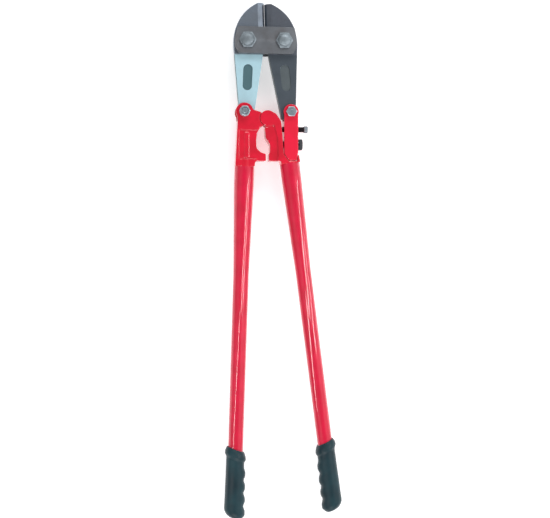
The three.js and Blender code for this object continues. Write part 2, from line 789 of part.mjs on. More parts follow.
const boltCutters = new THREE.Group();
boltCutters.add(tool);

export default boltCutters;
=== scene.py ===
"""Bolt cutters: fine meshes, finishes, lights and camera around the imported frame. Metres throughout."""

import json
import logging
import math
from dataclasses import dataclass
from enum import Enum
from typing import Callable, Iterable, Sequence

import bmesh
import bpy
import numpy as np
from mathutils import Matrix, Vector

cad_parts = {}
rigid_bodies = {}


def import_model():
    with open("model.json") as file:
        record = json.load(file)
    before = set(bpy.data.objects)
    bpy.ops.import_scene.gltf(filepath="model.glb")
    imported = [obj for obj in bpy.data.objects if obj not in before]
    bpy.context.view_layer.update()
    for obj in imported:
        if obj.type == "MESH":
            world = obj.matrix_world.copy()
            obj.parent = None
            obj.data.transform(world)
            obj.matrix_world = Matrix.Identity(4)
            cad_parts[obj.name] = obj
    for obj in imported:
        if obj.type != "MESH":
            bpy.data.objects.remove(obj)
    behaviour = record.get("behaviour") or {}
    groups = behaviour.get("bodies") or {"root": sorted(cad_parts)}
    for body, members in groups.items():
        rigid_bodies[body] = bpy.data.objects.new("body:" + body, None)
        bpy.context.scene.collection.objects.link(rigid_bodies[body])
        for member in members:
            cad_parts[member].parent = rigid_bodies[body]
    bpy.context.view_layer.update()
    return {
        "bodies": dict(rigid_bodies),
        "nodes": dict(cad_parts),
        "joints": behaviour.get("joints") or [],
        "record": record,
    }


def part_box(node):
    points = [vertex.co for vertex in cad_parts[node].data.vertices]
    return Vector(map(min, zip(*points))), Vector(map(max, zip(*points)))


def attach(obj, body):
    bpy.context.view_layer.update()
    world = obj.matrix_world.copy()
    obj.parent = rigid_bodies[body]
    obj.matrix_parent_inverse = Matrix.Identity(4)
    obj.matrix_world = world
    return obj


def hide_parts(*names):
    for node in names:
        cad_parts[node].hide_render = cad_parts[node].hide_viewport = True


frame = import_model()

LOG = logging.getLogger("bolt_cutters")
MM = 0.001
FULL_TURN = 2.0 * math.pi
CLOUDS = (0.3, 0.7)  # the values that a cloudy noise mostly stays between
HEXAGON_CONE = 0.475  # where a hexagon's chamfer starts, as a share of its width across the flats
HEXAGON_SHARP = 25.0  # degrees from which the edges of bolts and nuts are drawn sharp

Material = bpy.types.Material
Mesh = bpy.types.Mesh
Socket = bpy.types.NodeSocket
Colour = tuple[float, float, float]


class Side(Enum):
    """The two halves of the tool; the value is the sign of X on that side."""

    LEFT = -1
    RIGHT = 1

    @property
    def word(self) -> str:
        """The side's name as it stands in a node's name."""
        return self.name.lower()


class Graph:
    """A material's node tree with short calls for the nodes that the finishes share."""

    def __init__(self, name: str) -> None:
        """Starts an empty material with an output and a Principled shader.

        Args:
            name: the material's name.
        """
        self.material = bpy.data.materials.new(name)
        self.material.use_nodes = True
        self.tree = self.material.node_tree
        self.tree.nodes.clear()
        output = self.tree.nodes.new("ShaderNodeOutputMaterial")
        self.shader = self.tree.nodes.new("ShaderNodeBsdfPrincipled")
        self.tree.links.new(self.shader.outputs["BSDF"], output.inputs["Surface"])
        self.where = self.tree.nodes.new("ShaderNodeTexCoord").outputs["Object"]

    def link(self, source: Socket, target: Socket) -> None:
        """Joins an output to an input."""
        self.tree.links.new(source, target)

    def stretched(self, scale: Sequence[float]) -> Socket:
        """The object's coordinates, stretched along X, Y and Z.

        Args:
            scale: factors along X, Y and Z.

        Returns:
            The socket that carries the stretched coordinates.
        """
        mapping = self.tree.nodes.new("ShaderNodeMapping")
        mapping.inputs["Scale"].default_value = scale
        self.link(self.where, mapping.inputs["Vector"])
        return mapping.outputs["Vector"]

    def noise(self, scale: float, detail: float = 3.0, where: Socket = None) -> Socket:
        """A noise value.

        Args:
            scale: how many grains to the metre.
            detail: octaves of finer grain.
            where: coordinates, the object's own if left out.

        Returns:
            The noise node's factor.
        """
        node = self.tree.nodes.new("ShaderNodeTexNoise")
        node.inputs["Scale"].default_value = scale
        node.inputs["Detail"].default_value = detail
        self.link(where or self.where, node.inputs["Vector"])
        return node.outputs["Fac"]

    def spread(self, value: Socket, low: float, high: float, floor: float = 0.0,
               ceiling: float = 1.0) -> Socket:
        """Maps a value's range onto another one.

        Args:
            value: the socket to map.
            low: value that becomes the floor.
            high: value that becomes the ceiling.
            floor: lowest result.
            ceiling: highest result.

        Returns:
            The mapped socket.
        """
        node = self.tree.nodes.new("ShaderNodeMapRange")
        self.link(value, node.inputs["Value"])
        node.inputs["From Min"].default_value = low
        node.inputs["From Max"].default_value = high
        node.inputs["To Min"].default_value = floor
        node.inputs["To Max"].default_value = ceiling
        return node.outputs["Result"]

    def mix(self, amount: Socket, first: Colour | Socket, second: Colour | Socket) -> Socket:
        """A colour between two colours.

        Args:
            amount: 0 gives the first, 1 the second.
            first: linear red, green and blue, or a socket.
            second: linear red, green and blue, or a socket.

        Returns:
            The colour socket.
        """
        node = self.tree.nodes.new("ShaderNodeMix")
        node.data_type = "RGBA"
        self.link(amount, node.inputs["Factor"])
        for colour, socket in ((first, node.inputs["A"]), (second, node.inputs["B"])):
            if isinstance(colour, Socket):
                self.link(colour, socket)
            else:
                socket.default_value = (*colour, 1.0)
        return node.outputs["Result"]

    def add(self, first: Socket, second: Socket, share: float) -> Socket:
        """The first value plus a share of the second."""
        node = self.tree.nodes.new("ShaderNodeMath")
        node.operation = "MULTIPLY_ADD"
        self.link(second, node.inputs[0])
        node.inputs[1].default_value = share
        self.link(first, node.inputs[2])
        return node.outputs["Value"]

    def bump(self, height: Socket, strength: float, depth_mm: float) -> None:
        """Adds surface relief.

        Args:
            height: the relief, 0 to 1.
            strength: how strongly it shades.
            depth_mm: height of the relief in millimetres.
        """
        node = self.tree.nodes.new("ShaderNodeBump")
        node.inputs["Strength"].default_value = strength
        node.inputs["Distance"].default_value = depth_mm * MM
        self.link(height, node.inputs["Height"])
        self.link(node.outputs["Normal"], self.shader.inputs["Normal"])

    def along(self, axis: str) -> Socket:
        """The object's own X, Y or Z in metres."""
        node = self.tree.nodes.new("ShaderNodeSeparateXYZ")
        self.link(self.where, node.inputs["Vector"])
        return node.outputs[axis]

    def edges(self, low: float, high: float) -> Socket:
        """A mask of the convex edges, from 0 on the faces to 1 on the sharpest edges."""
        pointed = self.tree.nodes.new("ShaderNodeNewGeometry").outputs["Pointiness"]
        return self.spread(pointed, low, high)

    def coloured(self, colour: Socket) -> None:
        """Gives the shader its colour."""
        self.link(colour, self.shader.inputs["Base Color"])

    def roughened(self, clouds: Socket, low: float, high: float, grain: Socket = None,
                  share: float = 0.0) -> None:
        """Gives the shader a roughness that wanders with the clouds.

        Args:
            clouds: the noise to follow.
            low: roughness where the clouds are thin.
            high: roughness where they are thick.
            grain: a finer noise to add, if any.
            share: how much of the grain is added.
        """
        rough = self.spread(clouds, *CLOUDS, low, high)
        if grain is not None:
            rough = self.add(rough, grain, share)
        self.link(rough, self.shader.inputs["Roughness"])

    def fixed(self, **values: float) -> None:
        """Sets constants on the shader's own sockets; an underscore stands for a space."""
        for name, value in values.items():
            self.shader.inputs[name.replace("_", " ")].default_value = value


@dataclass(frozen=True)
class GlossPaint:
    """Sprayed gloss enamel over steel, with a faint orange peel and uneven film."""

    name: str
    colour: Colour
    shade: Colour
    roughness: float = 0.32
    peel_mm: float = 0.015
    grain: float = 260.0
    coat_roughness: float = 0.05

    def make(self) -> Material:
        """Builds the paint's material."""
        graph = Graph(self.name)
        clouds = graph.noise(38.0, 4.0)
        fine = graph.noise(self.grain, 2.0)
        specks = graph.noise(1900.0, 3.0)
        graph.coloured(graph.mix(graph.spread(clouds, 0.35, 0.65), self.colour, self.shade))
        graph.roughened(clouds, self.roughness - 0.04, self.roughness + 0.05, specks, 0.05)
        graph.fixed(Specular_IOR_Level=0.2, Coat_Weight=0.9, Coat_Roughness=self.coat_roughness, IOR=1.5)
        graph.bump(graph.add(fine, specks, 0.15), 0.5, self.peel_mm)
        return graph.material


@dataclass(frozen=True)
class GroundSteel:
    """Bare tool steel with fine grinding lines, darker stains and brighter edges."""

    name: str
    colour: Colour
    stain: Colour
    roughness: float = 0.36
    stretch: tuple[float, float, float] = (60.0, 2600.0, 900.0)
    line_mm: float = 0.02
    rubbed: float = 1.45
    worn_edges: tuple[float, float] = (0.53, 0.62)

    def worked(self, graph: Graph) -> Socket:
        """Gives the shader the steel's relief and roughness.

        Args:
            graph: the material's graph.

        Returns:
            The clouds that the stains follow.
        """
        lines = graph.noise(1.0, 5.0, graph.stretched(self.stretch))
        clouds = graph.noise(45.0, 5.0)
        pits = graph.noise(1400.0, 2.0)
        graph.roughened(clouds, self.roughness - 0.07, self.roughness + 0.06, lines, 0.14)
        graph.bump(graph.add(lines, pits, 0.3), 0.4, self.line_mm)
        return clouds

    def stained(self, graph: Graph, clouds: Socket) -> Socket:
        """The colour of the stained metal."""
        return graph.mix(graph.spread(clouds, 0.38, 0.68), self.colour, self.stain)

    def edged(self, graph: Graph, faces: Socket) -> None:
        """Gives the shader the faces' colour, with the edges rubbed to another brightness."""
        bright = tuple(min(1.0, self.rubbed * part) for part in self.colour)
        graph.coloured(graph.mix(graph.edges(*self.worn_edges), faces, bright))

    def make(self) -> Material:
        """Builds the steel's material."""
        graph = Graph(self.name)
        clouds = self.worked(graph)
        self.edged(graph, self.stained(graph, clouds))
        graph.fixed(Metallic=1.0, Anisotropic=0.35)
        return graph.material


@dataclass(frozen=True)
class BladeSteel(GroundSteel):
    """Ground steel whose arm, below the link plates, carries a painted reflection tone, and whose faces
    below the top face (the pocket and the sides) carry a painted light-and-shade tone.
    """

    rubbed: float = 1.5
    # the arm colour is a painted reflection: the tone the arm's face shows in the light, not a finish of its
    # own
    arm: Colour = (0.5, 0.5, 0.5)
    arm_dimming: float = 0.86
    arm_metal: float = 0.5
    # the pocket colour is painted light and shade for the pocket and the vertical sides below the top face
    pocket: Colour = (0.1, 0.1, 0.1)
    arm_line: float = 0.0
    face: float = 0.0
    blend: float = 1.5 * MM

    def make(self) -> Material:
        """Builds the blade's material."""
        graph = Graph(self.name)
        clouds = self.worked(graph)
        blend = self.blend
        below = graph.spread(graph.along("Y"), self.arm_line - blend, self.arm_line + blend, 1.0, 0.0)
        # painted light-and-shade mask: every surface below the blade's top face, the pocket and the sides,
        # takes the pocket's painted tone
        recess_painted_light_mask = graph.spread(graph.along("Z"), self.face - blend, self.face - 0.4 * blend, 1.0, 0.0)
        dimmed = tuple(self.arm_dimming * part for part in self.arm)
        # the arm's colour is a painted reflection; the clouds only vary it at random
        arm = graph.mix(graph.spread(clouds, *CLOUDS), self.arm, dimmed)
        arm = graph.mix(recess_painted_light_mask, arm, self.pocket)
        self.edged(graph, graph.mix(below, self.stained(graph, clouds), arm))
        graph.link(graph.spread(below, 0.0, 1.0, 1.0, self.arm_metal), graph.shader.inputs["Metallic"])
        return graph.material


@dataclass(frozen=True)
class GrippyVinyl:
    """Dipped soft vinyl with a matt pebble grain and a slight polish where hands rub it."""

    name: str
    colour: Colour
    dust: Colour
    roughness: float = 0.36

    def make(self) -> Material:
        """Builds the vinyl's material."""
        graph = Graph(self.name)
        clouds = graph.noise(30.0, 4.0)
        pebbles = graph.noise(1500.0, 2.0)
        swirl = graph.noise(160.0, 3.0)
        graph.coloured(graph.mix(graph.spread(clouds, 0.35, 0.7), self.colour, self.dust))
        graph.roughened(clouds, self.roughness - 0.06, self.roughness + 0.08, pebbles, 0.12)
        graph.fixed(IOR=1.5, Sheen_Weight=0.02, Specular_IOR_Level=0.36)
        graph.bump(graph.add(pebbles, swirl, 0.5), 0.45, 0.08)
        return graph.material


@dataclass(frozen=True)
class OxideSteel:
    """Blackened steel, rubbed brighter on its corners."""

    name: str
    colour: Colour
    rubbed: Colour
    roughness: float = 0.42

    def make(self) -> Material:
        """Builds the blackened steel's material."""
        graph = Graph(self.name)
        clouds = graph.noise(190.0, 4.0)
        grains = graph.noise(2400.0, 2.0)
        patch = graph.mix(graph.spread(clouds, 0.5, 0.78, 0.0, 0.6), self.colour, self.rubbed)
        graph.coloured(graph.mix(graph.edges(0.52, 0.6), patch, self.rubbed))
        graph.roughened(clouds, self.roughness - 0.08, self.roughness + 0.1)
        graph.fixed(Metallic=0.85)
        graph.bump(grains, 0.3, 0.03)
        return graph.material


class Finishes:
    """Every finish on the tool, made once."""

    def __init__(self) -> None:
        """Makes the materials."""
        arm_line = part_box("front_link_plate")[0][1]
        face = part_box("left_blade")[1][2]
        self.tube_paint = GlossPaint("tube_paint", (0.68, 0.006, 0.045), (0.59, 0.004, 0.034)).make()
        self.casting_paint = GlossPaint(
            "casting_paint", (0.72, 0.006, 0.032), (0.58, 0.004, 0.022),
            roughness=0.34, peel_mm=0.14, coat_roughness=0.07,
        ).make()
        self.arm_paint = GlossPaint(
            "arm_paint", (0.80, 0.010, 0.045), (0.73, 0.009, 0.036), peel_mm=0.1, coat_roughness=0.06
        ).make()
        # the two blades are lit and shaded copies of one steel: the left jaw is painted lighter and its arm
        # carries a bright painted reflection
        self.left_blade = BladeSteel(
            "left_blade_steel", (0.28, 0.325, 0.385), (0.20, 0.225, 0.26), arm=(0.46, 0.69, 0.77),
            arm_metal=0.2, pocket=(0.075, 0.15, 0.17), arm_line=arm_line, face=face,
        ).make()
        # the right blade's jaw and arm are painted darker: painted shade on the same steel
        self.right_blade = BladeSteel(
            "right_blade_steel", (0.19, 0.21, 0.245), (0.14, 0.15, 0.175), arm=(0.105, 0.127, 0.15),
            arm_metal=0.75, pocket=(0.14, 0.165, 0.175), arm_line=arm_line, face=face,
        ).make()
        self.plate_steel = GroundSteel(
            "plate_steel", (0.22, 0.232, 0.25), (0.165, 0.165, 0.173), 0.46, (900.0, 70.0, 900.0), rubbed=1.0
        ).make()
        self.bolt_steel = GroundSteel(
            "bolt_steel", (0.30, 0.345, 0.375), (0.22, 0.25, 0.27), 0.5, (700.0, 700.0, 90.0), rubbed=0.9
        ).make()
        self.zinc = GroundSteel(
            "zinc", (0.42, 0.49, 0.54), (0.31, 0.36, 0.40), 0.3, (700.0, 700.0, 90.0)
        ).make()
        self.oxide = OxideSteel("oxide", (0.014, 0.015, 0.018), (0.055, 0.058, 0.064)).make()
        self.vinyl = GrippyVinyl("vinyl", (0.002, 0.018, 0.026), (0.004, 0.036, 0.047)).make()


@dataclass
class Bench:
    """Where pieces are made: it knows the frame and puts each piece on its body."""

    frame: dict
    count: int = 0

    def fit(self, name: str, mesh: Mesh, finish: Material, body: str, slot: str,
            nodes: Iterable[str]) -> bpy.types.Object:
        """Adds a piece to the tool.

        Args:
            name: the piece's name.
            mesh: its mesh in the row frame.
            finish: its material.
            body: the body that it moves with.
            slot: the record's material slot; not used.
            nodes: the frame nodes that it stands for.

        Returns:
            The new object.
        """
        piece = bpy.data.objects.new(name, mesh)
        bpy.context.scene.collection.objects.link(piece)
        mesh.materials.clear()
        mesh.materials.append(finish)
        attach(piece, body)
        nodes = list(nodes)
        if nodes:
            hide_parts(*nodes)
        self.count += 1
        LOG.info("%s: %d faces on %s", name, len(mesh.polygons), body)
        return piece

    def node_points(self, node: str) -> np.ndarray:
        """The corners of a frame node's mesh, in metres, one row each."""
        mesh = self.frame["nodes"][node].data
        points = np.empty(3 * len(mesh.vertices))
        mesh.vertices.foreach_get("co", points)
        return points.reshape(-1, 3)

    def joint(self, name: str) -> Vector:
        """The place of a joint at rest."""
        return next(Vector(j["pos_m"]) for j in self.frame["joints"] if j["name"] == name)


def mesh_from_rings(name: str, rings: Sequence[np.ndarray], loop: bool = False) -> Mesh:
    """Skins a stack of rings that have the same number of points.

    Args:
        name: the mesh's name.
        rings: arrays of points, one row each, all going round the same way.
        loop: whether the last ring joins back to the first; otherwise both ends are filled.

    Returns:
        The mesh, with its faces pointing out and smooth shading.
    """
    around = len(rings[0])
    shell = bmesh.new()
    rows = [[shell.verts.new(point) for point in ring] for ring in rings]
    pairs = list(zip(rows, rows[1:])) + ([(rows[-1], rows[0])] if loop else [])
    for low, high in pairs:
        for k in range(around):
            after = (k + 1) % around
            shell.faces.new((low[k], low[after], high[after], high[k]))
    if not loop:
        shell.faces.new(list(reversed(rows[0])))
        shell.faces.new(rows[-1])
    bmesh.ops.recalc_face_normals(shell, faces=shell.faces)
    for face in shell.faces:
        face.smooth = True
    mesh = bpy.data.meshes.new(name)
    shell.to_mesh(mesh)
    shell.free()
    return mesh


def crisp(mesh: Mesh, degrees: float = 32.0) -> Mesh:
    """Marks a mesh's edges that turn by more than an angle as sharp, and returns it."""
    mesh.set_sharp_from_angle(angle=math.radians(degrees))
    return mesh


def placed(mesh: Mesh, matrix: Matrix) -> Mesh:
    """Moves a mesh's points by a matrix and returns it."""
    mesh.transform(matrix)
    if matrix.determinant() < 0:
        mesh.flip_normals()
    return mesh


def settled(mesh: Mesh, change: Callable[[bpy.types.Object], None]) -> Mesh:
    """Runs modifiers on a copy of a mesh and returns the result.

    Args:
        mesh: the mesh to start from.
        change: adds the modifiers to an object that holds the mesh.

    Returns:
        A new mesh with the modifiers applied.
    """
    holder = bpy.data.objects.new("holder", mesh.copy())
    bpy.context.scene.collection.objects.link(holder)
    change(holder)
    graph = bpy.context.evaluated_depsgraph_get()
    result = bpy.data.meshes.new_from_object(holder.evaluated_get(graph), depsgraph=graph)
    bpy.data.objects.remove(holder, do_unlink=True)
    return result


def full_circle(around: int) -> np.ndarray:
    """Angles spaced evenly over a full turn."""
    return np.linspace(0.0, FULL_TURN, around, endpoint=False)


def ring_points(radii: float | np.ndarray, angles: np.ndarray, heights: float | np.ndarray) -> np.ndarray:
    """Points about Z, from one radius and height for all of them or one for each."""
    heights = np.broadcast_to(heights, angles.shape)
    return np.column_stack((radii * np.cos(angles), radii * np.sin(angles), heights))


def circle(radius: float, height: float, around: int) -> np.ndarray:
    """Points on a circle about Z at a height."""
    return ring_points(radius, full_circle(around), height)


def circles(around: int, *profile: tuple[float, float]) -> list[np.ndarray]:
    """Circles about Z from pairs of a radius and a height."""
    return [circle(radius, height, around) for radius, height in profile]


def hexagon_ring(flats: float, height: float, slope_from: float, around: int) -> np.ndarray:
    """Points round a hexagon whose corners are cut back by a cone.

    Args:
        flats: size across the flats.
        height: height of the face that the cone starts from.
        slope_from: radius where the cone starts; below 0 it cuts the other face.
        around: number of points, a multiple of 12.

    Returns:
        The ring's points.
    """
    angles = full_circle(around)
    sixth = math.pi / 3.0
    radii = 0.5 * flats / np.cos((angles % sixth) - sixth / 2.0)
    drop = np.maximum(0.0, radii - abs(slope_from)) * math.tan(math.radians(30.0))
    heights = height - math.copysign(1.0, slope_from) * drop
    return ring_points(radii, angles, heights)


def bolt_head(flats: float, low: float, high: float, around: int) -> list[np.ndarray]:
    """Rings of a hexagon that is square below and chamfered above, as far as its chamfer's circle."""
    edge = HEXAGON_CONE * flats
    return [
        hexagon_ring(flats, low, -0.5 * flats, around),
        hexagon_ring(flats, high, edge, around),
        circle(edge, high, around),
    ]


@dataclass(frozen=True)
class Thread:
    """An outside thread on a rod along Z."""

    radius: float
    depth: float = 0.55 * MM
    pitch: float = 1.5 * MM
    around: int = 40
    steps_per_turn: int = 8

    def rings(self, low: float, high: float) -> list[np.ndarray]:
        """Rings of the threaded stretch.

        Args:
            low: height where it starts.
            high: height where it ends.

        Returns:
            The rings from low to high.
        """
        steps = max(2, int((high - low) / self.pitch * self.steps_per_turn))
        angles = full_circle(self.around)
        stack = []
        for height in np.linspace(low, high, steps + 1):
            phase = (height / self.pitch - angles / FULL_TURN) % 1.0
            run_out = min(1.0, (high - height) / self.pitch)
            radii = self.radius - self.depth * run_out * (1.0 - np.abs(2.0 * phase - 1.0))
            stack.append(ring_points(radii, angles, height))
        return stack


@dataclass
class BladeBolts:
    """The two bolts that hold the blades between the link plates, with their washers and nuts."""

    bench: Bench
    steel: Material
    flats: float = 26.5 * MM
    dome_radius: float = 11.5 * MM
    dome_height: float = 6.0 * MM
    shank_radius: float = 9.0 * MM
    washer_radius: float = 15.0 * MM
    splice: float = 8.0 * MM
    seat_gap: float = 0.3 * MM
    dome_steps: int = 16
    around: int = 96

    def head(self, low: float, high: float) -> Mesh:
        """A chamfered hexagon under a smooth dome, with its shank's upper end.

        Args:
            low: height of the face that bears on the plate.
            high: height of the top of the dome.

        Returns:
            The bolt's mesh about Z.
        """
        shoulder = high - self.dome_height
        dome = [(self.dome_radius + 0.4 * MM, shoulder)]
        for i in range(self.dome_steps):
            angle = (i + 0.5) / self.dome_steps * math.pi / 2.0
            height = shoulder + self.dome_height * math.sin(angle)
            dome.append((self.dome_radius * math.cos(angle), height))
        rings = circles(self.around, (self.shank_radius, low - self.splice), (self.shank_radius, low))
        rings += bolt_head(self.flats, low, shoulder, self.around)
        rings += circles(self.around, *dome)
        return crisp(mesh_from_rings("dome", rings), HEXAGON_SHARP)

    def lock_washer(self, low: float, high: float) -> Mesh:
        """A split ring, slightly open at its cut.

        Args:
            low: height of its lower face.
            high: height of its upper face.

        Returns:
            The washer's mesh about Z.
        """
        gap = math.radians(5.0)
        inner = self.shank_radius + 0.35 * MM
        outer = self.washer_radius
        corner = 0.4 * MM
        corners = (
            (inner, low + corner), (inner + corner, low), (outer - corner, low), (outer, low + corner),
            (outer, high - corner), (outer - corner, high), (inner + corner, high), (inner, high - corner),
        )
        sections = []
        for angle in np.linspace(gap, FULL_TURN - gap, 90):
            sections.append(np.array([(r * math.cos(angle), r * math.sin(angle), z) for r, z in corners]))
        return crisp(mesh_from_rings("split_ring", sections))

    def nut(self, low: float, high: float) -> Mesh:
        """A hexagon nut, chamfered on its outer face and countersunk round its hole."""
        edge = HEXAGON_CONE * self.flats
        hole = self.shank_radius + self.seat_gap
        sink = 0.9 * MM
        rings = [
            hexagon_ring(self.flats, high, 0.5 * self.flats, self.around),
            hexagon_ring(self.flats, low, -edge, self.around),
            *circles(self.around, (edge, low), (hole + sink, low), (hole, low + sink), (hole, high)),
        ]
        return crisp(mesh_from_rings("nut", rings, loop=True), HEXAGON_SHARP)

    def shank(self, low: float, high: float) -> Mesh:
        """The bolt below its head, threaded where the nut sits, with a chamfered end."""
        thread = Thread(self.shank_radius, 0.8 * MM, 2.5 * MM, 64)
        rings = [circle(self.shank_radius - 1.4 * MM, low, thread.around)]
        rings += thread.rings(low + 0.8 * MM, low + 14.0 * MM)
        rings.append(circle(self.shank_radius, high, thread.around))
        return crisp(mesh_from_rings("shank", rings), 40.0)

    def build(self) -> None:
        """Makes both sides' bolt, washer and nut."""
        for side in Side:
            bolt = f"{side.word}_blade_bolt"
            low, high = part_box(bolt)
            plate_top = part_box("front_link_plate")[1][2] + self.seat_gap
            centre = self.bench.joint(f"{side.word}_blade_turn")
            to_centre = Matrix.Translation((centre.x, centre.y, 0.0))
            shaft = placed(self.shank(low[2], plate_top - self.splice), to_centre)
            self.bench.fit(f"{side.word}_bolt_shank", shaft, self.steel, "head", "zinc_steel", [])
            head = placed(self.head(plate_top, high[2]), to_centre)
            self.bench.fit(f"{side.word}_bolt_dome", head, self.steel, "head", "zinc_steel", [bolt])
            for word, maker in (("lock_washer", self.lock_washer), ("nut", self.nut)):
                node = f"{side.word}_blade_{word}"
                node_low, node_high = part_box(node)
                mesh = placed(maker(node_low[2], node_high[2]), to_centre)
                self.bench.fit(f"{side.word}_bolt_{word}", mesh, self.steel, "head", "zinc_steel", [node])


@dataclass
class TailBolts:
    """The two smaller bolts that join the blades' tails to the handles."""

    bench: Bench
    steel: Material
    flats: float = 16.6 * MM
    radius: float = 5.0 * MM
    washer_radius: float = 9.4 * MM
    head_height: float = 6.4 * MM
    around: int = 72

    def bolt(self, length: float) -> Mesh:
        """A hexagon-headed bolt along Z with its head at the top.

        Args:
            length: from the thread's end to the top of the head.

        Returns:
            The bolt's mesh, with Z = 0 at the thread's end.
        """
        edge = HEXAGON_CONE * self.flats
        under = length - self.head_height
        thread = Thread(self.radius, 0.5 * MM, 1.5 * MM, self.around)
        rings = circles(self.around, (0.25 * self.radius, 0.0), (self.radius - 0.9 * MM, 0.0))
        rings += thread.rings(0.6 * MM, 0.42 * length)
        rings.append(circle(self.radius, under, self.around))
        rings += bolt_head(self.flats, under, length, self.around)
        rings += circles(self.around, (0.5 * edge, length), (0.42 * edge, length - 0.5 * MM))
        return crisp(mesh_from_rings("tail_bolt", rings), HEXAGON_SHARP)

    def washer(self, height: float) -> Mesh:
        """A flat washer with rounded rims, standing on Z = 0."""
        hole = self.radius + 0.35 * MM
        outer = self.washer_radius
        rim = 0.3 * MM
        corners = (
            (hole, rim), (hole + rim, 0.0), (outer - rim, 0.0), (outer, rim),
            (outer, height - rim), (outer - rim, height), (hole + rim, height), (hole, height - rim),
        )
        return crisp(mesh_from_rings("washer", circles(self.around, *corners), loop=True))

    def nut(self, height: float) -> Mesh:
        """A hexagon nut chamfered on both faces, standing on Z = 0."""
        edge = HEXAGON_CONE * self.flats
        hole = self.radius + 0.3 * MM
        sink = 0.7 * MM
        rings = [
            circle(edge, 0.0, self.around),
            hexagon_ring(self.flats, 0.0, -edge, self.around),
            hexagon_ring(self.flats, height, edge, self.around),
            *circles(self.around, (edge, height), (hole + sink, height), (hole, height - sink), (hole, 0.0)),
        ]
        return crisp(mesh_from_rings("tail_nut", rings, loop=True), HEXAGON_SHARP)

    def build(self) -> None:
        """Makes both sides; the left bolt's head is at the back and the right one's in front."""
        for side, body in ((Side.LEFT, "left_handle"), (Side.RIGHT, "adjuster")):
            name = f"{side.word}_tail_bolt"
            low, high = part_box(name)
            centre = [(a + b) / 2.0 for a, b in zip(*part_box(f"{side.word}_tail_washer"))]
            flip = side is Side.LEFT
            turn = Matrix.Rotation(math.pi, 4, "X") if flip else Matrix.Identity(4)

            def stand(bottom: float, top: float) -> Matrix:
                """The placing of a piece that stands between two heights on this bolt."""
                return Matrix.Translation((centre[0], centre[1], top if flip else bottom)) @ turn

            bolt = placed(self.bolt(high[2] - low[2]), stand(low[2], high[2]))
            self.bench.fit(f"{side.word}_tail_screw", bolt, self.steel, body, "zinc_steel", [name])
            for word, maker in (("washer", self.washer), ("nut", self.nut)):
                node = f"{side.word}_tail_{word}"
                bottom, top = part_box(node)
                outward = Matrix.Identity(4) if flip else Matrix.Rotation(math.pi, 4, "X")
                place = Matrix.Translation((centre[0], centre[1], bottom[2] if flip else top[2])) @ outward
                mesh = placed(maker(top[2] - bottom[2]), place)
                self.bench.fit(f"{side.word}_tail_{word}_ring", mesh, self.steel, body, "zinc_steel", [node])


@dataclass
class CrossScrews:
    """The adjusting screw and the lock bolt, which lie across the tool."""

    bench: Bench
    oxide: Material
    zinc: Material
    lock_flats: float = 18.8 * MM
    lock_radius: float = 6.0 * MM
    screw_radius: float = 5.0 * MM
    screw_head_radius: float = 6.25 * MM
    screw_head_length: float = 6.8 * MM
    lock_washer_radius: float = 10.2 * MM
    around: int = 72

    def across(self, start: float, y: float, z: float) -> Matrix:
        """The placing that lays a piece made along Z onto +X."""
        return Matrix.Translation((start, y, z)) @ Matrix.Rotation(math.pi / 2.0, 4, "Y")

    def adjusting_screw(self, length: float) -> Mesh:
        """A threaded rod with a pointed tip and a plain round head with a hexagon socket.

        Args:
            length: from tip to head.

        Returns:
            The screw's mesh along Z, with its tip at 0.
        """
        head_low = length - self.screw_head_length
        thread = Thread(self.screw_radius, 0.6 * MM, 1.75 * MM, self.around)
        wide = self.screw_head_radius
        socket = 0.55 * wide
        bevel = 0.9 * MM
        rings = [circle(0.55 * self.screw_radius, 0.0, self.around)]
        rings += thread.rings(1.4 * MM, head_low - 0.4 * MM)
        rings += circles(
            self.around, (self.screw_radius, head_low), (wide - 0.5 * MM, head_low),
            (wide, head_low + 0.5 * MM), (wide, length - bevel), (wide - bevel, length),
            (socket * 1.12, length),
        )
        for depth in (0.5 * MM, 3.5 * MM):
            rings.append(hexagon_ring(1.8 * socket, length - depth, socket * 2.0, self.around))
        return crisp(mesh_from_rings("adjusting_screw", rings), 28.0)

    def lock_bolt(self, length: float, head_height: float) -> Mesh:
        """A hexagon-headed bolt along Z with its thread's end at 0."""
        edge = HEXAGON_CONE * self.lock_flats
        under = length - head_height
        thread = Thread(self.lock_radius, 0.6 * MM, 1.75 * MM, self.around)
        rings = [circle(self.lock_radius - 1.0 * MM, 0.0, self.around)]
        rings += thread.rings(0.8 * MM, under - 6.0 * MM)
        rings.append(circle(self.lock_radius, under, self.around))
        rings += bolt_head(self.lock_flats, under, length, self.around)
        rings += circles(self.around, (0.62 * edge, length), (0.55 * edge, length - 0.45 * MM))
        return crisp(mesh_from_rings("lock_bolt", rings), HEXAGON_SHARP)

    def build(self) -> None:
        """Makes the screw, the bolt and the bolt's washer."""
        low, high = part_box("adjusting_screw")
        y, z = (low[1] + high[1]) / 2.0, (low[2] + high[2]) / 2.0
        screw = placed(self.adjusting_screw(high[0] - low[0]), self.across(low[0], y, z))
        piece = self.bench.fit(
            "clearance_screw", screw, self.oxide, "adjusting_screw", "black_oxide", ["adjusting_screw"]
        )
        piece.data.materials.append(self.zinc)
        head_start = high[0] - self.screw_head_length
        for face in piece.data.polygons:
            if face.center.x > head_start - 0.1 * MM:
                face.material_index = 1
        low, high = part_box("lock_bolt")
        washer_low, washer_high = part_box("lock_washer")
        y = (washer_low[1] + washer_high[1]) / 2.0
        head_height = high[0] - washer_high[0] - 0.3 * MM
        bolt = placed(self.lock_bolt(high[0] - low[0], head_height), self.across(low[0], y, z))
        self.bench.fit("arm_lock_bolt", bolt, self.oxide, "right_handle", "black_oxide", ["lock_bolt"])
        maker = TailBolts(
            self.bench, self.oxide, radius=self.lock_radius, washer_radius=self.lock_washer_radius
        )
        washer = placed(maker.washer(washer_high[0] - washer_low[0]), self.across(washer_low[0], y, z))
        self.bench.fit("arm_lock_washer", washer, self.oxide, "right_handle", "black_oxide", ["lock_washer"])


